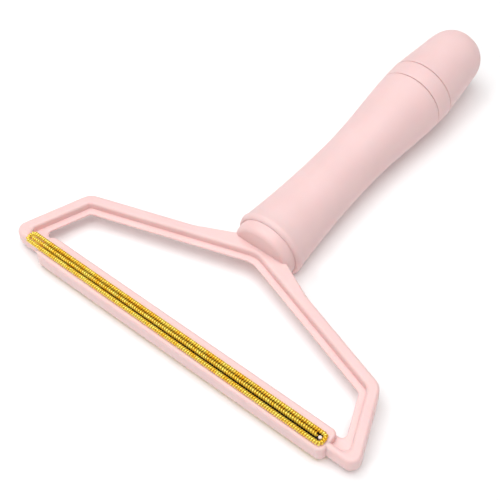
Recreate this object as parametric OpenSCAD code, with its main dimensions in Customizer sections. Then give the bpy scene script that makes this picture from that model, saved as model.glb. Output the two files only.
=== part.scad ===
// Hand-operated fabric shaver (lint remover): a pentagonal head frame whose lower edge carries
// a bar with coiled-wire scraping strips on both faces, and a pull-off round handle.
//
// X runs along the bar, Y from the bar's outer edge to the handle's end, Z is the head's thickness.
// The origin is the middle of the bar's outer edge face. All sizes are in millimetres.

/* [Head frame] */
// Width across the bottom corners
head_w = 155; // [150:1:160]
// Width across the shoulders
shoulder_w = 130.8; // [126:0.2:136]
// Height of the shoulders above the frame's bottom edge
shoulder_h = 29; // [27:0.5:31]
// Height at which the arms' outer lines would meet
peak_h = 49.8; // [49:0.1:50.4]
// Thickness of the head
frame_t = 6.7; // [6:0.1:8]
// Width of the raised rim
rim_w = 4.2; // [3.6:0.1:4.6]
// Width of the thin flange inside the rim
flange_w = 2.4; // [1.6:0.1:3]
// Thickness of the flange
flange_t = 1; // [0.8:0.1:2]
// Rounding of the bottom corners
corner_r = 3.6; // [2:0.1:5]
// Rounding of the shoulders
shoulder_r = 6; // [3:0.5:8]

/* [Blade bar] */
// Length of the bar shells
bar_l = 128; // [126:0.5:129]
// How far the bar's middle lies to the right of the handle's axis
bar_offset = 0.9; // [0:0.1:1]
// Width of the bar shells, from the outer edge into the opening
bar_w = 9.7; // [9.6:0.1:10.5]
// How far the bar's outer edge stands out beyond the frame
lip = 2.7; // [2.4:0.1:3]
// Thickness of the dark strips let into the bar's faces under the coils
strip_t = 0.3; // [0.2:0.1:0.5]

/* [Coils] */
// Outer diameter of the wire coils
coil_d = 1.7; // [1.6:0.1:1.8]
// Left end of the front loop, which reaches over the frame's corner
front_left_x = -69.3; // [-69.5:0.1:-68.5]
// Left end of the rear loop, which stays on the bar
rear_left_x = -61.8; // [-62:0.1:-58]
// Right end of both loops
loop_right_x = 63.8; // [62:0.1:63.8]
// Extra width of a loop at its right end
loop_splay = 0.4; // [0:0.1:0.5]
// Distance from the bar's outer edge to the centre line of a loop's inner run
inner_run_y = 5.85; // [5.6:0.05:6]

/* [Neck plug] */
// Radius of the collar
collar_r = 12.3; // [12:0.1:12.6]
// Distance from the bar's outer edge to the collar's front face
collar_y = 49.9; // [49:0.1:50.5]
// Radius of the spigot
spigot_r = 6.5; // [5:0.1:7]
// Length of the spigot behind the collar
spigot_l = 24; // [16:1:28]

/* [Handle] */
// Distance from the bar's outer edge to the handle's mouth
mouth_y = 54.4; // [53.5:0.1:55]
// Outer radius at the mouth
mouth_r = 13.9; // [13.7:0.1:15]
// Outer radius at the waist
waist_r = 11.2; // [11:0.1:12.5]
// Outer radius at the band
band_r = 13.9; // [13:0.1:15]
// Distance from the bar's outer edge to the waist
waist_y = 102.7; // [98:0.1:108]
// Distance from the bar's outer edge to the near side of the band
band_y = 142.2; // [138:0.2:146]
// Width of the band
band_w = 7.7; // [5:0.1:10]
// Distance from the bar's outer edge to the handle's end
end_y = 181; // [176:0.5:190]
// Wall thickness of the handle's shells
wall = 1.9; // [1.5:0.1:2]

/* [Hidden] */

pink = [0.98, 0.84, 0.82];
pale_pink = [0.99, 0.9, 0.87];
brass = [0.85, 0.65, 0.2];
dark_steel = [0.16, 0.14, 0.12];

arc_steps = 6;      // straight pieces in each rounded corner
round_fn = 96;      // facets of a turned part
wire_fn = 24;       // facets of a coil
bend_steps = 8;     // straight pieces in each bend of a loop
eps = 0.01;         // overlap that keeps cuts clean
cut = 20;           // more than any thickness that is cut through

// head frame: slopes of its sides and of its arms
half_w = head_w / 2;
half_shoulder = shoulder_w / 2;
side_slope = (half_w - half_shoulder) / shoulder_h;
arm_slope = (peak_h - shoulder_h) / half_shoulder;
side_cos = cos(atan(side_slope));
arm_cos = cos(atan(arm_slope));
lower_rim_w = 2.5;       // the rim is narrower below, beside the bar
lower_edge_w = 6.8;      // from the frame's bottom edge to the opening
inner_r = 2.5;           // rounding of the rim's inner corners
opening_r = 1.8;         // rounding of the opening's corners
apex_r = 9;              // rounding of both below the neck
neck_half_w = 10.4;      // half width of the plate where it ends inside the collar
neck_seat = 1.4;         // how deep it sits there
flare_x = 26;            // where the arms start to widen towards the neck

// rail inside the bar and tongue inside the neck plug
rail_w = 4.4;
rail_t = 2.4;
fit_gap = 0.05;
tongue_w = 14;
tongue_t = 4;
tongue_l = 7;

// bar and coils
bar_low_x = bar_offset - bar_l / 2;
bar_high_x = bar_offset + bar_l / 2;
bar_corner_r = 2.6;
coil_r = coil_d / 2;
bend_r = 1.1;            // of a loop's centre line, at its four bends
touch_gap = 0.02;        // between coils that lie side by side, and beside the peg
outer_gap = 0.1;         // more room between the strand and a loop's outer run, at its left end
loop_w = 2 * (coil_d + touch_gap) + outer_gap;  // between the centre lines of a loop's runs there
coil_z = frame_t / 2 + coil_r;
strand_y = inner_run_y - coil_d - touch_gap;
strand_gap = 0.15;       // room between the inner strand and what it ends at
peg_r = 0.65;
peg_x = loop_right_x - coil_d - touch_gap - peg_r;
peg_top = coil_z;
strip_w = 3.2;           // of the dark strip under the strand, and how far it reaches towards the lip
strip_low_y = strand_y - 1.7;
strip_inset = 2;         // from the loop's or the bar's left end to the dark strip
strip_margin = 0.5;      // of the dark strip beyond the peg

// neck plug and handle
collar_edge_r = 2;       // rounding of the collar's front edge: across, and along the axis
collar_edge_l = 3;
collar_seat = 5.3;       // length of the collar inside the handle's mouth
collar_end_y = mouth_y + collar_seat;
running_gap = 0.05;
stop_gap = 0.3;
spigot_end_y = collar_end_y + spigot_l;
spigot_wall = 1.8;
mouth_edge_r = 1.5;      // rounding of the mouth's edge, the same way
mouth_edge_l = 2.2;
counterbore_end_y = collar_end_y + stop_gap;
socket_end_y = spigot_end_y + 4;
socket_wall = 1.6;
flange_disc_t = 2;
far_y = band_y + band_w;
core_r = 10;             // radius of the end cap's sleeve
core_wall = 1.7;
land_l = 7;              // length of the land that holds the sleeve in the grip
seam_w = 0.4;
seam_depth = 0.5;
end_taper = 0.1;         // narrowing of the end cap, per millimetre
dome_l = 11.6;
dome_power = 3;          // 2 is an ellipse, more is a flatter dome
profile_step = 2;

// ---------------------------------------------------------------- outlines

function unit(v) = v / norm(v);

// points of an arc about c from point a to point b, the short way round
function arc(c, a, b) =
    let (a0 = atan2(a.y - c.y, a.x - c.x),
         a1 = atan2(b.y - c.y, b.x - c.x),
         turn = a1 - a0 - 360 * round((a1 - a0) / 360))
    [for (i = [0 : arc_steps])
        let (t = a0 + turn * i / arc_steps)
        c + norm(a - c) * [cos(t), sin(t)]];

// closed outline whose corner i is rounded to radii[i]
function rounded(points, radii) =
    let (n = len(points))
    [for (i = [0 : n - 1])
        let (p = points[i],
             u = unit(points[(i + n - 1) % n] - p),
             v = unit(points[(i + 1) % n] - p),
             half = acos(u * v) / 2,
             c = p + unit(u + v) * radii[i] / sin(half))
        each arc(c, p + u * radii[i] / tan(half), p + v * radii[i] / tan(half))];

// x of the frame's side and y of its arm, d inside the outer edge
function side_x(d, y) = half_w - y * side_slope - d / side_cos;
function arm_y(d, x) = peak_h - x * arm_slope - d / arm_cos;
function shoulder_x(d) =
    (half_w - side_slope * peak_h + side_slope * d / arm_cos - d / side_cos) / (1 - side_slope * arm_slope);

// pentagon d inside the frame's outer edge, with its bottom at height bottom
function pentagon(d, bottom) =
    let (x = shoulder_x(d), y = arm_y(d, x))
    [[-side_x(d, bottom), bottom], [side_x(d, bottom), bottom], [x, y], [0, arm_y(d, 0)], [-x, y]];

// the pentagon's corner radii: its apex is rounder
function inner_radii(r) = [r, r, r, apex_r, r];

module plate(points, thickness) linear_extrude(thickness, center = true) polygon(points);

module frame_outline(thickness) {
    top = collar_y + neck_seat - lip;
    plate(rounded([[-half_w, 0], [half_w, 0], [half_shoulder, shoulder_h], [flare_x, arm_y(0, flare_x)],
                   [neck_half_w, top], [-neck_half_w, top], [-flare_x, arm_y(0, flare_x)],
                   [-half_shoulder, shoulder_h]],
                  [corner_r, corner_r, shoulder_r, 2, eps, eps, 2, shoulder_r]), thickness);
}

function bar_outline() =
    rounded([[bar_low_x, 0], [bar_high_x, 0], [bar_high_x, bar_w], [bar_low_x, bar_w]],
            [for (i = [0 : 3]) bar_corner_r]);

// outline of the dark strip inside a loop whose left end is at left_x
module strip_outline(left_x) {
    from = max(left_x, bar_low_x) + strip_inset;
    translate([from, strip_low_y]) square([peg_x + peg_r + strip_margin - from, strip_w]);
}

module both_faces() {
    children();
    mirror([0, 0, 1]) children();
}

module peg(r, half_l) translate([peg_x, strand_y, -half_l]) cylinder(2 * half_l, r = r, $fn = wire_fn);

// turned shape about the handle's axis: points are [radius, distance from the bar's outer edge]
module turned(points) rotate([-90, 0, 0]) rotate_extrude($fn = round_fn) polygon(points);
module rod(r, from, to)
    translate([0, from, 0]) rotate([-90, 0, 0]) cylinder(to - from, r = r, $fn = round_fn);

// quarter ellipse, edge_r by edge_l, from a turned part's flat end at y to its radius r
function end_rounding(r, edge_r, edge_l, y) =
    [for (i = [0 : arc_steps])
        let (t = 90 * i / arc_steps)
        [r - edge_r * (1 - sin(t)), y + edge_l * (1 - cos(t))]];

// ---------------------------------------------------------------- head

module head_frame() color(pink) {
    difference() {
        translate([0, lip, 0]) difference() {
            frame_outline(frame_t);
            // both faces are sunk to the flange, inside the rim
            both_faces() translate([0, 0, flange_t / 2 + cut / 2])
                plate(rounded(pentagon(rim_w, lower_rim_w), inner_radii(inner_r)), cut);
            plate(rounded(pentagon(rim_w + flange_w, lower_edge_w), inner_radii(opening_r)), cut);
        }
        plate(bar_outline(), cut);
    }
    // rail that the bar shells close over
    difference() {
        translate([bar_low_x - eps, lip, -rail_t / 2]) cube([bar_l + 2 * eps, rail_w, rail_t]);
        peg(peg_r, cut);
    }
    translate([-tongue_w / 2, collar_y + neck_seat - eps, -tongue_t / 2])
        cube([tongue_w, tongue_l + eps, tongue_t]);
}

// front half of the blade bar, over a loop whose left end is at left_x
module bar_shell(left_x) difference() {
    linear_extrude(frame_t / 2) polygon(bar_outline());
    translate([-half_w, lip - fit_gap, -cut])
        cube([head_w, rail_w + 2 * fit_gap, cut + rail_t / 2 + fit_gap]);
    translate([0, 0, frame_t / 2 - strip_t]) linear_extrude(cut) strip_outline(left_x);
    peg(peg_r, cut);
}
module backing_strip(left_x) difference() {
    translate([0, 0, frame_t / 2 - strip_t]) linear_extrude(strip_t) strip_outline(left_x);
    peg(peg_r, cut);
}
module front_bar_shell() color(pink) bar_shell(front_left_x);
module rear_bar_shell() color(pink) mirror([0, 0, 1]) bar_shell(rear_left_x);
module front_backing_strip() color(dark_steel) backing_strip(front_left_x);
module rear_backing_strip() color(dark_steel) mirror([0, 0, 1]) backing_strip(rear_left_x);

// ---------------------------------------------------------------- coils

// a long belt of coil from left_x to loop_right_x, wider at the right, with its centre line at height z
module coil_loop(left_x, z) {
    left = left_x + coil_r + bend_r;
    right = loop_right_x - coil_r - bend_r;
    inner = inner_run_y - bend_r;
    outer = inner_run_y - loop_w + bend_r;
    splay = atan(loop_splay / (right - left));
    // each bend's centre, first angle and sweep; the straight runs join one bend to the next
    bends = [[[left, inner], 90, 90],
             [[left, outer], 180, 90 - splay],
             [[right, outer - loop_splay], -90 - splay, 90 + splay],
             [[right, inner], 0, 90]];
    rings = [for (bend = bends, i = [0 : bend_steps])
        let (a = bend[1] + bend[2] * i / bend_steps)
        [for (j = [0 : wire_fn - 1])
            let (b = 360 * j / wire_fn, r = bend_r + coil_r * cos(b))
            [bend[0].x + r * cos(a), bend[0].y + r * sin(a), z + coil_r * sin(b)]]];
    n = len(rings);
    polyhedron([for (ring = rings) each ring],
               [for (i = [0 : n - 1], j = [0 : wire_fn - 1])
                   [i * wire_fn + j, i * wire_fn + (j + 1) % wire_fn,
                    (i + 1) % n * wire_fn + (j + 1) % wire_fn, (i + 1) % n * wire_fn + j]]);
}
module coil_strand(left_x, z) {
    from = left_x + coil_d + strand_gap;
    translate([from, strand_y, z]) rotate([0, 90, 0])
        cylinder(peg_x - peg_r - strand_gap - from, r = coil_r, $fn = wire_fn);
}
module front_coil_loop() color(brass) coil_loop(front_left_x, coil_z);
module front_coil_strand() color(brass) coil_strand(front_left_x, coil_z);
module rear_coil_loop() color(brass) coil_loop(rear_left_x, -coil_z);
module rear_coil_strand() color(brass) coil_strand(rear_left_x, -coil_z);
module coil_peg() color(pale_pink) peg(peg_r, peg_top);

// ---------------------------------------------------------------- neck

// collar with a rounded front edge and a hollow spigot, cut out for the frame's neck and its tongue
module neck_plug() color(pink) {
    tongue_end_y = collar_y + neck_seat + tongue_l;
    difference() {
        turned(concat([[0, collar_y]], end_rounding(collar_r, collar_edge_r, collar_edge_l, collar_y),
                      [[collar_r, collar_end_y], [spigot_r, collar_end_y], [spigot_r, spigot_end_y],
                       [spigot_r - spigot_wall, spigot_end_y],
                       [spigot_r - spigot_wall, tongue_end_y + spigot_wall],
                       [0, tongue_end_y + spigot_wall]]));
        translate([0, lip, 0]) frame_outline(frame_t);
        translate([-tongue_w / 2, 0, -tongue_t / 2]) cube([tongue_w, tongue_end_y, tongue_t]);
    }
}

// ---------------------------------------------------------------- handle

// the handle's outer radius at distance y, before its ends are rounded
function body_r(y) =
    y < waist_y ? waist_r + (mouth_r - waist_r) * pow((waist_y - y) / (waist_y - mouth_y), 2)
    : y < far_y ? waist_r + (band_r - waist_r) * (1 - cos(180 * (y - waist_y) / (far_y - waist_y))) / 2
    : band_r - end_taper * (y - far_y);

// how much of that radius the dome leaves
function dome(y, end) =
    let (along = max(0, (y - end + dome_l) / dome_l))
    pow(max(0, 1 - pow(along, dome_power)), 1 / dome_power);

// steps from one distance to another, about profile_step apart
function steps(from, to) =
    let (n = ceil((to - from) / profile_step))
    [for (i = [0 : n]) from + (to - from) * i / n];
function skin(from, to, depth = 0) = [for (y = steps(from, to)) [body_r(y) - depth, y]];
function reversed(points) = [for (i = [len(points) - 1 : -1 : 0]) points[i]];

module handle_grip() color(pink) {
    land_y = band_y - land_l;
    turned(concat([[collar_r + running_gap, mouth_y]],
                  end_rounding(mouth_r, mouth_edge_r, mouth_edge_l, mouth_y),
                  skin(mouth_y + mouth_edge_l + 1, band_y - seam_w),
                  [[body_r(band_y) - seam_depth, band_y], [core_r, band_y], [core_r, land_y]],
                  reversed(skin(counterbore_end_y, land_y, wall)),
                  [[collar_r + running_gap, counterbore_end_y]]));
}

module handle_socket() color(pink) {
    sleeve_r = spigot_r + running_gap + socket_wall;
    difference() {
        union() {
            rod(sleeve_r, counterbore_end_y, socket_end_y);
            for (y = [counterbore_end_y, socket_end_y - flange_disc_t])
                rod(body_r(y + flange_disc_t) - wall - fit_gap, y, y + flange_disc_t);
        }
        rod(spigot_r + running_gap, mouth_y, socket_end_y + eps);
    }
}

module handle_band() color(pink)
    turned(concat([[core_r, band_y], [body_r(band_y) - seam_depth, band_y]],
                  skin(band_y + seam_w, far_y - seam_w),
                  [[body_r(far_y) - seam_depth, far_y], [core_r, far_y]]));

module handle_end_cap() color(pink) {
    land_y = band_y - land_l;
    inner_end = end_y - wall;
    turned(concat([[core_r, far_y], [body_r(far_y) - seam_depth, far_y]],
                  [for (y = steps(far_y + seam_w, end_y)) [body_r(y) * dome(y, end_y), y]],
                  [for (y = reversed(steps(far_y + wall, inner_end)))
                      [(body_r(y) - wall) * dome(y, inner_end), y]],
                  [[core_r - core_wall, far_y + wall], [core_r - core_wall, land_y], [core_r, land_y]]));
}

head_frame();
front_bar_shell();
rear_bar_shell();
front_backing_strip();
rear_backing_strip();
front_coil_loop();
front_coil_strand();
rear_coil_loop();
rear_coil_strand();
coil_peg();
neck_plug();
handle_grip();
handle_socket();
handle_band();
handle_end_cap();
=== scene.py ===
"""Hand-operated fabric shaver: moulded pink frame and handle, brass wire coils on the blade bar.

Everything is in the CAD's frame: X along the bar, Y towards the handle's end, Z out of the front face.
Lengths are written in millimetres and multiplied by MM where they meet Blender.
"""
import math

import bmesh
import bpy
import numpy as np
from mathutils import Matrix, Vector


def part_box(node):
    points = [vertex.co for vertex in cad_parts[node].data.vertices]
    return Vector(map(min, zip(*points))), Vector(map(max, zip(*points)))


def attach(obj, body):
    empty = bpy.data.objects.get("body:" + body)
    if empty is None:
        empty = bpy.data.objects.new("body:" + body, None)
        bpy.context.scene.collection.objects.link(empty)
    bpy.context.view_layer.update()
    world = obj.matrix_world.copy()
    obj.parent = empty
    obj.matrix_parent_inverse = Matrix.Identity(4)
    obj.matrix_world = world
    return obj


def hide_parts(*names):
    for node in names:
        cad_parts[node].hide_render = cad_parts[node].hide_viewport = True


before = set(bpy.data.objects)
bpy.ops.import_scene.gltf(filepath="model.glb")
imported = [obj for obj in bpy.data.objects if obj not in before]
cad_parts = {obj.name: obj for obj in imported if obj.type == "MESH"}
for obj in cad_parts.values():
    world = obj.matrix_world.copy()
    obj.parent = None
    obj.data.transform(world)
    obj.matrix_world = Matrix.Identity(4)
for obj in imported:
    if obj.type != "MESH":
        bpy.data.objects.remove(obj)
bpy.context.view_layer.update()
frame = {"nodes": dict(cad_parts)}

MM = 0.001


def box_mm(node):
    """Lowest and highest corner of a CAD node, in millimetres."""
    low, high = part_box(node)
    return np.array(low) / MM, np.array(high) / MM


# ------------------------------------------------------------------ sizes

SHELL_LOW, SHELL_HIGH = box_mm("front_bar_shell")
LOOP_LOW, LOOP_HIGH = box_mm("front_coil_loop")
PEG_LOW, PEG_HIGH = box_mm("coil_peg")
PLUG_LOW, PLUG_HIGH = box_mm("neck_plug")
GRIP_LOW = box_mm("handle_grip")[0]
BAND_LOW, BAND_HIGH = box_mm("handle_band")
CAP_HIGH = box_mm("handle_end_cap")[1]

HALF_T = box_mm("head_frame")[1][2]

# outline of the head, as in the CAD source
LIP = 2.7
HALF_WIDTH = 77.5
HALF_SHOULDER = 65.4
SHOULDER_H = 29.0
PEAK_H = 49.8
RIM_W = 4.2
FLANGE_W = 2.4
FLANGE_T = 1.0
LOWER_RIM_W = 2.5
LOWER_EDGE_W = 6.8
CORNER_R = 3.6
SHOULDER_R = 6.0
INNER_R = 2.5
OPENING_R = 1.8
APEX_R = 9.0
NECK_HALF_W = 10.4
NECK_SEAT = 1.4
FLARE_X = 26.0
FLARE_R = 6.0
SHARP_R = 0.05
SIDE_SLOPE = (HALF_WIDTH - HALF_SHOULDER) / SHOULDER_H
ARM_SLOPE = (PEAK_H - SHOULDER_H) / HALF_SHOULDER
SIDE_COS = math.cos(math.atan(SIDE_SLOPE))
ARM_COS = math.cos(math.atan(ARM_SLOPE))

# roundings of the moulded edges
RIM_EDGE_R = 1.2
RIM_INNER_EDGE_R = 1.1
WALL_FOOT_R = 0.25
FLANGE_EDGE_R = 0.4
SHELL_CORNER_R = 2.6
SHELL_EDGE_R = 1.0

# coils
COIL_R = (LOOP_HIGH[2] - LOOP_LOW[2]) / 2
BEND_R = 1.1
TOUCH_GAP = 0.02
OUTER_GAP = 0.1
LOOP_W = 2 * (2 * COIL_R + TOUCH_GAP) + OUTER_GAP
WIRE_R = 0.4
COIL_PITCH = 0.91
WIRE_SIDES = 8
STEPS_PER_TURN = 16
STRAND_SAMPLES = 4000

# how far a cutter reaches beyond the faces
CUTTER_Z = 9.0

# handle
COLLAR_R = PLUG_HIGH[2]
COLLAR_Y = PLUG_LOW[1]
MOUTH_Y = GRIP_LOW[1]
MOUTH_R = 13.9
WAIST_R = 11.2
BAND_R = 13.9
WAIST_Y = 102.7
BAND_Y = BAND_LOW[1]
FAR_Y = BAND_HIGH[1]
END_Y = CAP_HIGH[1]
WALL = 1.9
SLEEVE_R = 10.0
SLEEVE_WALL = 1.7
LAND_L = 7.0
COLLAR_SEAT = 5.3
STOP_GAP = 0.3
RUNNING_GAP = 0.05
SPIGOT_R = 6.5
SPIGOT_WALL = 1.8
TONGUE_L = 7.0
COLLAR_EDGE_R = 2.0
COLLAR_EDGE_L = 3.0
MOUTH_EDGE_R = 1.5
MOUTH_EDGE_L = 2.2
SEAM_GAP = 0.3
SEAM_W = 0.35
SEAM_DEPTH = 0.35
END_TAPER = 0.1
DOME_L = 11.6
DOME_POWER = 3.0


# ------------------------------------------------------------------ mesh helpers

def finish_mesh(name, bm, body, *nodes, smooth_angle=40, weighted=True):
    """Turns a bmesh in millimetres into a piece that rides on a body and replaces CAD nodes."""
    bmesh.ops.remove_doubles(bm, verts=bm.verts, dist=1e-4)
    bmesh.ops.recalc_face_normals(bm, faces=bm.faces)
    bmesh.ops.scale(bm, vec=(MM, MM, MM), verts=bm.verts)
    mesh = bpy.data.meshes.new(name)
    bm.to_mesh(mesh)
    bm.free()
    piece = bpy.data.objects.new(name, mesh)
    bpy.context.scene.collection.objects.link(piece)
    soften(piece, smooth_angle, weighted)
    if body:
        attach(piece, body)
    if nodes:
        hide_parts(*nodes)
    return piece


def soften(piece, smooth_angle=40, weighted=True):
    """Smooth shading, with edges sharper than smooth_angle kept."""
    mesh = piece.data
    mesh.polygons.foreach_set("use_smooth", [True] * len(mesh.polygons))
    mesh.set_sharp_from_angle(angle=math.radians(smooth_angle))
    if weighted:
        modifier = piece.modifiers.new("weighted", "WEIGHTED_NORMAL")
        modifier.keep_sharp = True
        modifier.weight = 100


def skin_rings(bm, rings, closed):
    """Joins rings of equal length into a skin: closed onto itself, or capped at both ends."""
    loops = [[bm.verts.new(p) for p in ring] for ring in rings]
    n = len(loops[0])
    pairs = list(zip(loops, loops[1:] + loops[:1])) if closed else list(zip(loops, loops[1:]))
    for a, b in pairs:
        for i in range(n):
            bm.faces.new((a[i], a[(i + 1) % n], b[(i + 1) % n], b[i]))
    if not closed:
        bm.faces.new(loops[0][::-1])
        bm.faces.new(loops[-1])


def lathe(bm, profile, segments=160):
    """Turns a closed profile of (radius, y) points about the handle's axis."""
    angles = np.linspace(0, 2 * math.pi, segments, endpoint=False)
    rings = [[(r * math.cos(a), y, r * math.sin(a)) for r, y in profile] for a in angles]
    skin_rings(bm, rings, closed=True)


def quarter(steps=8):
    """(cos, sin) along a quarter circle, from 0 to 90 degrees."""
    return [(math.cos(t), math.sin(t)) for t in np.linspace(0, math.pi / 2, steps + 1)]


def rounded(points, radii, steps):
    """Closed outline whose corner i is an arc of radii[i] in steps[i] pieces."""
    out = []
    n = len(points)
    for i in range(n):
        p = np.array(points[i], float)
        u = np.array(points[i - 1], float) - p
        v = np.array(points[(i + 1) % n], float) - p
        u /= np.linalg.norm(u)
        v /= np.linalg.norm(v)
        half = math.acos(np.clip(u @ v, -1, 1)) / 2
        centre = p + (u + v) / np.linalg.norm(u + v) * radii[i] / math.sin(half)
        a = p + u * radii[i] / math.tan(half) - centre
        b = p + v * radii[i] / math.tan(half) - centre
        start = math.atan2(a[1], a[0])
        turn = math.atan2(b[1], b[0]) - start
        turn -= 2 * math.pi * round(turn / (2 * math.pi))
        for k in range(steps[i] + 1):
            angle = start + turn * k / steps[i]
            out.append(centre + radii[i] * np.array([math.cos(angle), math.sin(angle)]))
    return np.array(out)


def at_height(outline, z):
    return [(x, y, z) for x, y in outline]


def carve(target, cutter):
    """Cuts one closed mesh out of another and removes it."""
    modifier = target.modifiers.new("carve", "BOOLEAN")
    modifier.operation = "DIFFERENCE"
    modifier.solver = "EXACT"
    modifier.object = cutter
    bpy.context.view_layer.update()
    graph = bpy.context.evaluated_depsgraph_get()
    mesh = bpy.data.meshes.new_from_object(target.evaluated_get(graph))
    target.modifiers.remove(modifier)
    target.data = mesh
    bpy.data.objects.remove(cutter)


# ------------------------------------------------------------------ head frame

def side_x(inset, y):
    return HALF_WIDTH - y * SIDE_SLOPE - inset / SIDE_COS


def arm_y(inset, x):
    return PEAK_H - x * ARM_SLOPE - inset / ARM_COS


def shoulder_x(inset):
    lean = HALF_WIDTH - SIDE_SLOPE * PEAK_H + SIDE_SLOPE * inset / ARM_COS - inset / SIDE_COS
    return lean / (1 - SIDE_SLOPE * ARM_SLOPE)


CORNER_STEPS = 10


def outer_outline(inset):
    """The frame's outside, moved in by inset. Its neck ends inside the collar."""
    shoulder = shoulder_x(inset)
    flare = FLARE_X - inset * 0.3
    neck = NECK_HALF_W - inset * 0.6
    top = COLLAR_Y + NECK_SEAT - LIP
    right = [(side_x(inset, inset), inset), (shoulder, arm_y(inset, shoulder)),
             (flare, arm_y(inset, flare)), (neck, top)]
    left = [(-x, y) for x, y in right]
    points = [left[0], right[0], right[1], right[2], right[3], left[3], left[2], left[1]]
    radii = [CORNER_R - inset, CORNER_R - inset, SHOULDER_R - inset, FLARE_R + inset,
             SHARP_R, SHARP_R, FLARE_R + inset, SHOULDER_R - inset]
    return rounded(points, radii, [CORNER_STEPS] * 8) + [0, LIP]


def inner_outline(inset):
    """The rim's and the flange's inside: a pentagon with as many points as the outside's eight corners.

    Its apex takes the points of the outside's other four corners.
    """
    into = np.clip((inset - RIM_W) / FLANGE_W, 0, 1)
    bottom = LOWER_RIM_W + min(inset - RIM_W, 0) + into * (LOWER_EDGE_W - LOWER_RIM_W)
    radius = INNER_R + into * (OPENING_R - INNER_R)
    shoulder = shoulder_x(inset)
    right = [(side_x(inset, bottom), bottom), (shoulder, arm_y(inset, shoulder))]
    points = [(-right[0][0], bottom), right[0], right[1], (0, arm_y(inset, 0)), (-shoulder, right[1][1])]
    steps = [CORNER_STEPS, CORNER_STEPS, CORNER_STEPS, 4 * CORNER_STEPS + 3, CORNER_STEPS]
    return rounded(points, [radius, radius, radius, APEX_R, radius], steps) + [0, LIP]


def frame_section():
    """Rings from the middle of the outside, over the rim and down to the middle of the flange's edge."""
    r, g, q, s = RIM_EDGE_R, RIM_INNER_EDGE_R, WALL_FOOT_R, FLANGE_EDGE_R
    flange_z = FLANGE_T / 2
    rings = [(outer_outline(r * (1 - c)), HALF_T - r + r * d) for c, d in quarter()]
    rings += [(inner_outline(RIM_W - g + g * d), HALF_T - g + g * c) for c, d in quarter()]
    rings += [(inner_outline(RIM_W + q * (1 - c)), flange_z + q - q * d) for c, d in quarter(5)]
    rings += [(inner_outline(RIM_W + FLANGE_W - s + s * d), flange_z - s + s * c) for c, d in quarter(5)]
    return rings


def make_frame(cutters):
    half = frame_section()
    rings = [at_height(o, z) for o, z in half] + [at_height(o, -z) for o, z in reversed(half)]
    bm = bmesh.new()
    skin_rings(bm, rings, closed=True)
    piece = finish_mesh("frame_moulding", bm, None, weighted=False)
    for cutter in cutters:
        carve(piece, cutter)
    soften(piece)
    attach(piece, "head")
    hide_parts("head_frame")
    return piece


# ------------------------------------------------------------------ blade bar

def shell_outline(inset):
    left = SHELL_LOW[0] + inset
    right = SHELL_HIGH[0] - inset
    low = SHELL_LOW[1] + inset
    high = SHELL_HIGH[1] - inset
    return rounded([(left, low), (right, low), (right, high), (left, high)],
                   [SHELL_CORNER_R - inset] * 4, [CORNER_STEPS] * 4)


def shell_solid(name, side):
    r = SHELL_EDGE_R
    rings = [at_height(shell_outline(0), 0)]
    rings += [at_height(shell_outline(r * (1 - c)), side * (HALF_T - r + r * s)) for c, s in quarter()]
    bm = bmesh.new()
    skin_rings(bm, rings, closed=False)
    return finish_mesh(name, bm, None, weighted=False)


def strip_cutter(node):
    """A block the size of a backing strip, open to the face it is let into."""
    low, high = box_mm(node)
    side = 1 if high[2] > 0 else -1
    inner = min(abs(low[2]), abs(high[2]))
    corners = [(low[0], low[1]), (high[0], low[1]), (high[0], high[1]), (low[0], high[1])]
    bm = bmesh.new()
    skin_rings(bm, [at_height(corners, side * inner), at_height(corners, side * CUTTER_Z)], closed=False)
    return finish_mesh("strip_cutter", bm, None, weighted=False)


def make_shell(side, name):
    piece = shell_solid(name + "_bar", side)
    carve(piece, strip_cutter(name + "_backing_strip"))
    soften(piece)
    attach(piece, "head")
    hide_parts(name + "_bar_shell")
    return piece


# ------------------------------------------------------------------ wire coils

def belt_path(low, high, samples_per_mm=40):
    """Points and in-plane normals along a loop's centre line, evenly spaced.

    The loop has four bends. Its inner run is level and its outer run slants away from it to the right.
    """
    left = low[0] + COIL_R + BEND_R
    right = high[0] - COIL_R - BEND_R
    inner = high[1] - COIL_R - BEND_R
    outer = high[1] - COIL_R - LOOP_W + BEND_R
    outer_right = low[1] + COIL_R + BEND_R
    splay = math.atan((outer - outer_right) / (right - left))
    quarter_turn = math.pi / 2
    bends = [((left, inner), quarter_turn, quarter_turn),
             ((left, outer), 2 * quarter_turn, quarter_turn - splay),
             ((right, outer_right), 3 * quarter_turn - splay, quarter_turn + splay),
             ((right, inner), 0, quarter_turn)]
    points = []
    normals = []
    for i, (centre, start, sweep) in enumerate(bends):
        for t in np.linspace(start, start + sweep, int(sweep * BEND_R * samples_per_mm)):
            normals.append(np.array([math.cos(t), math.sin(t)]))
            points.append(np.array(centre) + BEND_R * normals[-1])
        next_centre, next_start = bends[(i + 1) % len(bends)][:2]
        normal = np.array([math.cos(next_start), math.sin(next_start)])
        run = np.array(next_centre) + BEND_R * normal - points[-1]
        count = int(np.linalg.norm(run) * samples_per_mm)
        points += [points[-1] + run * k / count for k in range(1, count)]
        normals += [normal] * (count - 1)
    points = np.c_[points, np.full(len(points), (low[2] + high[2]) / 2)]
    return points, np.c_[normals, np.zeros(len(normals))]


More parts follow.
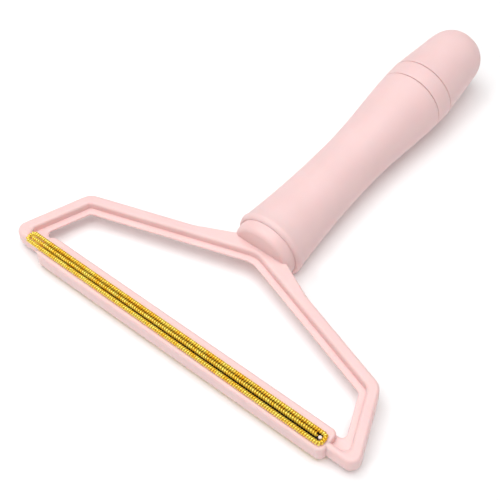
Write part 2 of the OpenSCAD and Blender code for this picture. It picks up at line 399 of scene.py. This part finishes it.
def wind(points, normals, radius, closed):
    """Centre line of a wire wound round a path, with the direction away from the path at each step."""
    if closed:
        points = np.r_[points, points[:1]]
        normals = np.r_[normals, normals[:1]]
    along = np.r_[0, np.cumsum(np.linalg.norm(np.diff(points, axis=0), axis=1))]
    turns = along[-1] / COIL_PITCH
    if closed:
        turns = round(turns)
    count = int(turns * STEPS_PER_TURN)
    s = np.linspace(0, along[-1], count + 1)
    centre = np.c_[[np.interp(s, along, points[:, k]) for k in range(3)]].T
    normal = np.c_[[np.interp(s, along, normals[:, k]) for k in range(3)]].T
    angle = 2 * math.pi * turns * s / along[-1]
    away = normal * np.cos(angle)[:, None] + np.array([0, 0, 1.0]) * np.sin(angle)[:, None]
    wire = centre + away * radius
    return (wire[:-1], away[:-1]) if closed else (wire, away)


def make_wire(name, node, wire, away, radius, closed):
    if closed:
        tangent = np.roll(wire, -1, axis=0) - np.roll(wire, 1, axis=0)
    else:
        tangent = np.gradient(wire, axis=0)
    tangent /= np.linalg.norm(tangent, axis=1)[:, None]
    side = np.cross(tangent, away)
    side /= np.linalg.norm(side, axis=1)[:, None]
    out = np.cross(side, tangent)
    angles = np.linspace(0, 2 * math.pi, WIRE_SIDES, endpoint=False)
    rings = [w + radius * (np.cos(angles)[:, None] * o + np.sin(angles)[:, None] * d)
             for w, o, d in zip(wire, out, side)]
    bm = bmesh.new()
    skin_rings(bm, [[tuple(p) for p in ring] for ring in rings], closed)
    piece = finish_mesh(name, bm, "head", node, smooth_angle=60, weighted=False)
    return piece


def make_coils(name):
    points, normals = belt_path(*box_mm(name + "_coil_loop"))
    wire, away = wind(points, normals, COIL_R - WIRE_R, True)
    loop = make_wire(name + "_loop_wire", name + "_coil_loop", wire, away, WIRE_R, True)
    low, high = box_mm(name + "_coil_strand")
    middle = (low + high) / 2
    x = np.linspace(low[0] + WIRE_R, high[0] - WIRE_R, STRAND_SAMPLES)
    points = np.c_[x, np.full_like(x, middle[1]), np.full_like(x, middle[2])]
    normals = np.tile([0, 1.0, 0], (len(x), 1))
    wire, away = wind(points, normals, COIL_R - WIRE_R, False)
    strand = make_wire(name + "_strand_wire", name + "_coil_strand", wire, away, WIRE_R, False)
    return [loop, strand]


def make_peg():
    r = (PEG_HIGH[0] - PEG_LOW[0]) / 2
    x, y = (PEG_LOW[:2] + PEG_HIGH[:2]) / 2
    top = PEG_HIGH[2]
    edge = 0.25
    crown = [(r - edge + edge * c, top - edge + edge * s) for c, s in quarter(5)]
    profile = crown[::-1] + [(radius, -z) for radius, z in crown]
    angles = np.linspace(0, 2 * math.pi, 32, endpoint=False)
    rings = [[(x + radius * math.cos(a), y + radius * math.sin(a), z) for a in angles]
             for radius, z in profile]
    bm = bmesh.new()
    skin_rings(bm, rings, closed=False)
    piece = finish_mesh("peg_pin", bm, "head", "coil_peg")
    return piece


# ------------------------------------------------------------------ neck and handle

def body_r(y):
    """The handle's outer radius, before its ends are rounded."""
    if y < WAIST_Y:
        return WAIST_R + (MOUTH_R - WAIST_R) * ((WAIST_Y - y) / (WAIST_Y - MOUTH_Y)) ** 2
    if y < FAR_Y:
        return WAIST_R + (BAND_R - WAIST_R) * (1 - math.cos(math.pi * (y - WAIST_Y) / (FAR_Y - WAIST_Y))) / 2
    return BAND_R - END_TAPER * (y - FAR_Y)


def dome(y, end):
    """How much of that radius the domed end leaves."""
    along = max(0.0, (y - end + DOME_L) / DOME_L)
    return max(0.0, 1 - along ** DOME_POWER) ** (1 / DOME_POWER)


def skin_line(start, stop, count, depth=0.0):
    return [(body_r(y) - depth, y) for y in np.linspace(start, stop, count)]


def seam_edge(y, into, steps=5):
    """The sleeve's end and the rounded edge of a seam at y. into is +1 if the piece lies beyond the seam."""
    wall_y = y + into * SEAM_GAP / 2
    edge = [(body_r(y) - SEAM_DEPTH * (1 - s), wall_y + into * SEAM_W * (1 - c)) for c, s in quarter(steps)]
    return [(SLEEVE_R, wall_y)] + edge


def make_plug():
    edge = [(COLLAR_R - COLLAR_EDGE_R * (1 - s), COLLAR_Y + COLLAR_EDGE_L * (1 - c)) for c, s in quarter()]
    seat_end = MOUTH_Y + COLLAR_SEAT
    tip = PLUG_HIGH[1]
    floor = COLLAR_Y + NECK_SEAT + TONGUE_L + SPIGOT_WALL
    lead = 0.6
    profile = [(0.02, COLLAR_Y)] + edge
    profile += [(COLLAR_R, seat_end - 0.3), (COLLAR_R - 0.3, seat_end), (SPIGOT_R, seat_end)]
    profile += [(SPIGOT_R, tip - lead), (SPIGOT_R - lead, tip), (SPIGOT_R - SPIGOT_WALL, tip)]
    profile += [(SPIGOT_R - SPIGOT_WALL, floor), (0.02, floor)]
    bm = bmesh.new()
    lathe(bm, profile)
    piece = finish_mesh("neck_collar", bm, "head", "neck_plug")
    return piece


def make_grip():
    mouth = [(MOUTH_R - MOUTH_EDGE_R * (1 - s), MOUTH_Y + MOUTH_EDGE_L * (1 - c)) for c, s in quarter()]
    counterbore_r = COLLAR_R + RUNNING_GAP
    counterbore_end = MOUTH_Y + COLLAR_SEAT + STOP_GAP
    land = BAND_Y - LAND_L
    profile = [(counterbore_r, MOUTH_Y)] + mouth
    profile += skin_line(MOUTH_Y + MOUTH_EDGE_L + 1.2, BAND_Y - 2 * SEAM_W, 90)
    profile += seam_edge(BAND_Y, -1)[::-1] + [(SLEEVE_R, land)]
    profile += skin_line(land, counterbore_end, 40, WALL)
    profile += [(counterbore_r, counterbore_end)]
    bm = bmesh.new()
    lathe(bm, profile)
    return finish_mesh("grip_shell", bm, "handle", "handle_grip")


def make_band():
    profile = seam_edge(BAND_Y, 1) + skin_line(BAND_Y + 2 * SEAM_W, FAR_Y - 2 * SEAM_W, 12)
    profile += seam_edge(FAR_Y, -1)[::-1]
    bm = bmesh.new()
    lathe(bm, profile)
    return finish_mesh("band_ring", bm, "handle", "handle_band")


def make_end_cap():
    inner_end = END_Y - WALL
    profile = seam_edge(FAR_Y, 1)
    ys = list(np.linspace(FAR_Y + 2 * SEAM_W, END_Y - DOME_L, 20))
    ys += [END_Y - DOME_L + DOME_L * math.sin(t) for t in np.linspace(0, math.pi / 2, 48)[1:-1]]
    profile += [(body_r(y) * dome(y, END_Y), y) for y in ys] + [(0.02, END_Y)]
    inside = list(np.linspace(inner_end, FAR_Y + WALL, 40))
    profile += [(max(0.02, (body_r(y) - WALL) * dome(y, inner_end)), y) for y in inside]
    profile += [(SLEEVE_R - SLEEVE_WALL, FAR_Y + WALL), (SLEEVE_R - SLEEVE_WALL, BAND_Y - LAND_L)]
    profile += [(SLEEVE_R, BAND_Y - LAND_L)]
    bm = bmesh.new()
    lathe(bm, profile)
    return finish_mesh("domed_cap", bm, "handle", "handle_end_cap")


# ------------------------------------------------------------------ materials

class Surface:
    """A procedural material, with the texture nodes that it is built from."""

    def __init__(self, name):
        self.material = bpy.data.materials.new(name)
        self.material.use_nodes = True
        self.tree = self.material.node_tree
        self.shader = self.tree.nodes["Principled BSDF"]
        self.position = self.tree.nodes.new("ShaderNodeTexCoord").outputs["Object"]

    def link(self, value, name):
        self.tree.links.new(value, self.shader.inputs[name])

    def set(self, name, value):
        self.shader.inputs[name].default_value = value

    def noise(self, scale, detail=3.0, roughness=0.5):
        node = self.tree.nodes.new("ShaderNodeTexNoise")
        node.inputs["Scale"].default_value = scale
        node.inputs["Detail"].default_value = detail
        node.inputs["Roughness"].default_value = roughness
        self.tree.links.new(self.position, node.inputs["Vector"])
        return node.outputs["Fac"]

    def ramp(self, value, *stops):
        node = self.tree.nodes.new("ShaderNodeValToRGB")
        self.tree.links.new(value, node.inputs["Fac"])
        for element, (where, colour) in zip(node.color_ramp.elements, stops):
            element.position = where
            element.color = (*colour, 1)
        return node.outputs["Color"]

    def spread(self, value, low, high):
        node = self.tree.nodes.new("ShaderNodeMapRange")
        node.inputs["From Min"].default_value = 0.3
        node.inputs["From Max"].default_value = 0.7
        node.inputs["To Min"].default_value = low
        node.inputs["To Max"].default_value = high
        self.tree.links.new(value, node.inputs["Value"])
        return node.outputs["Result"]

    def bump(self, height, strength, distance, under=None):
        node = self.tree.nodes.new("ShaderNodeBump")
        node.inputs["Strength"].default_value = strength
        node.inputs["Distance"].default_value = distance
        self.tree.links.new(height, node.inputs["Height"])
        if under is not None:
            self.tree.links.new(under, node.inputs["Normal"])
        return node.outputs["Normal"]


def shade(colour, factor):
    return tuple(min(1.0, c * factor) for c in colour)


def moulded_plastic(name, colour, roughness, grain):
    """Satin moulded plastic: faint flow marks in the colour, fine spark-eroded grain in the surface."""
    s = Surface(name)
    s.link(s.ramp(s.noise(60, 2), (0.3, shade(colour, 0.97)), (0.7, shade(colour, 1.02))), "Base Color")
    s.link(s.spread(s.noise(350, 4), roughness - 0.05, roughness + 0.05), "Roughness")
    waves = s.bump(s.noise(90, 1), 0.12, 0.0004)
    s.link(s.bump(s.noise(3200, 3, 0.6), grain, 0.00005, waves), "Normal")
    s.set("Subsurface Weight", 0.25)
    s.set("Subsurface Radius", (1.0, 0.35, 0.25))
    s.set("Subsurface Scale", 0.0025)
    s.set("IOR", 1.46)
    return s.material


def drawn_brass(name):
    """Bright drawn wire: gold with slight tarnish in patches and fine draw marks."""
    s = Surface(name)
    s.link(s.ramp(s.noise(500, 4), (0.35, (1.0, 0.6, 0.03)), (0.6, (1.0, 0.82, 0.15))), "Base Color")
    s.link(s.spread(s.noise(2500, 3), 0.22, 0.4), "Roughness")
    s.link(s.bump(s.noise(6000, 2), 0.15, 0.00003), "Normal")
    s.set("Metallic", 0.6)
    return s.material


# Near-black strip under the coil rows: painted shade that makes the gaps between the rows look black.
def painted_gap_shade(name):
    s = Surface(name)
    s.link(s.ramp(s.noise(700, 4), (0.35, (0.006, 0.004, 0.002)), (0.65, (0.02, 0.013, 0.007))), "Base Color")
    s.link(s.spread(s.noise(900, 2), 0.5, 0.7), "Roughness")
    s.set("Specular IOR Level", 0.1)
    return s.material


def pale_floor(name):
    """Near-white matt sheet, lifted a little by emission so that it stays plain."""
    s = Surface(name)
    s.link(s.ramp(s.noise(4, 2), (0.3, (0.94, 0.94, 0.94)), (0.7, (0.97, 0.97, 0.97))), "Base Color")
    s.set("Roughness", 0.9)
    s.set("Specular IOR Level", 0.1)
    s.set("Emission Color", (1, 1, 1, 1))
    s.set("Emission Strength", 0.06)
    return s.material


def paint(material, *pieces):
    for piece in pieces:
        piece.data.materials.clear()
        piece.data.materials.append(material)


# ------------------------------------------------------------------ stage

EYE = (166.22, -139.67, 349.57)
AIM = (-4.17, 49.42, 0)
ROLL_DEG = -3.557
LENS = 87.5
SENSOR_WIDTH = 36

FLOOR_HALF = 3000
FLOOR_DROP = 0.15


def make_camera():
    """The camera stands in front of the bar and to its right, and looks down at the middle of the tool."""
    data = bpy.data.cameras.new("camera")
    data.lens = LENS
    data.sensor_width = SENSOR_WIDTH
    data.clip_start = 0.01
    data.clip_end = 20
    camera = bpy.data.objects.new("camera", data)
    bpy.context.scene.collection.objects.link(camera)
    back = (Vector(EYE) - Vector(AIM)).normalized()
    right = Vector((0, 0, 1)).cross(back).normalized()
    level = Matrix((right, back.cross(right), back)).transposed().to_4x4()
    pose = level @ Matrix.Rotation(math.radians(ROLL_DEG), 4, "Z")
    pose.translation = Vector(EYE) * MM
    camera.matrix_world = pose
    bpy.context.scene.camera = camera


def make_light(name, place, aim, size, power):
    """A soft disk of light. Places and sizes are in metres, power is in watts."""
    data = bpy.data.lights.new(name, "AREA")
    data.shape = "DISK"
    data.size = size
    data.energy = power
    lamp = bpy.data.objects.new(name, data)
    bpy.context.scene.collection.objects.link(lamp)
    direction = np.array(aim, float) - np.array(place, float)
    lamp.location = place
    lamp.rotation_mode = "QUATERNION"
    lamp.rotation_quaternion = Vector(direction).to_track_quat("-Z", "Y")


def make_floor():
    """A sloping floor just under the rear coil and the handle's band.

    The handle's wide mouth and the collar reach below it, out of the camera's sight.
    """
    coil_z = -LOOP_HIGH[2]
    coil_y = LOOP_LOW[1]
    slope = (BAND_R + coil_z) / (FAR_Y - coil_y)
    corners = [(-1, -1), (1, -1), (1, 1), (-1, 1)]
    bm = bmesh.new()
    bm.faces.new([bm.verts.new((u * FLOOR_HALF, v * FLOOR_HALF,
                                coil_z - FLOOR_DROP - (v * FLOOR_HALF - coil_y) * slope))
                  for u, v in corners])
    floor = finish_mesh("floor", bm, None, weighted=False)
    return floor


make_camera()
bpy.context.scene.view_settings.view_transform = "Standard"

pink = moulded_plastic("pink_moulding", (0.94, 0.65, 0.635), 0.36, 0.25)
handle_pink = moulded_plastic("pink_handle", (0.94, 0.655, 0.645), 0.45, 0.35)
peg_pink = moulded_plastic("peg_plastic", (0.93, 0.74, 0.68), 0.4, 0.2)
brass = drawn_brass("brass_wire")

front_shell = make_shell(1, "front")
rear_shell = make_shell(-1, "rear")
cutters = [shell_solid("cut_front", 1), shell_solid("cut_rear", -1)]
moulding = make_frame(cutters)
collar = make_plug()
paint(pink, moulding, front_shell, rear_shell, collar)

coils = make_coils("front") + make_coils("rear")
paint(brass, *coils)
paint(peg_pink, make_peg())
nodes = frame["nodes"]
# The strips under the coils get the near-black painted shade of the gaps between the coil rows.
paint(painted_gap_shade("dark_strip"), nodes["front_backing_strip"], nodes["rear_backing_strip"])

handle_pieces = [make_grip(), make_band(), make_end_cap()]
paint(handle_pink, *handle_pieces, nodes["handle_socket"])

paint(pale_floor("pale_floor"), make_floor())

world = bpy.data.worlds.new("studio")
world.use_nodes = True
world.node_tree.nodes["Background"].inputs["Color"].default_value = (1, 1, 1, 1)
world.node_tree.nodes["Background"].inputs["Strength"].default_value = 0.2
bpy.context.scene.world = world
centre = (0, 0.09, 0)
make_light("overhead", (0, 0.05, 1.5), centre, 1.6, 19.5)
make_light("left", (-0.9, 0.1, 1.2), centre, 1.0, 3)
make_light("front", (-0.2, -1.0, 1.0), centre, 0.3, 2.8)
make_light("right", (0.9, 0.2, 1.2), centre, 1.0, 1)
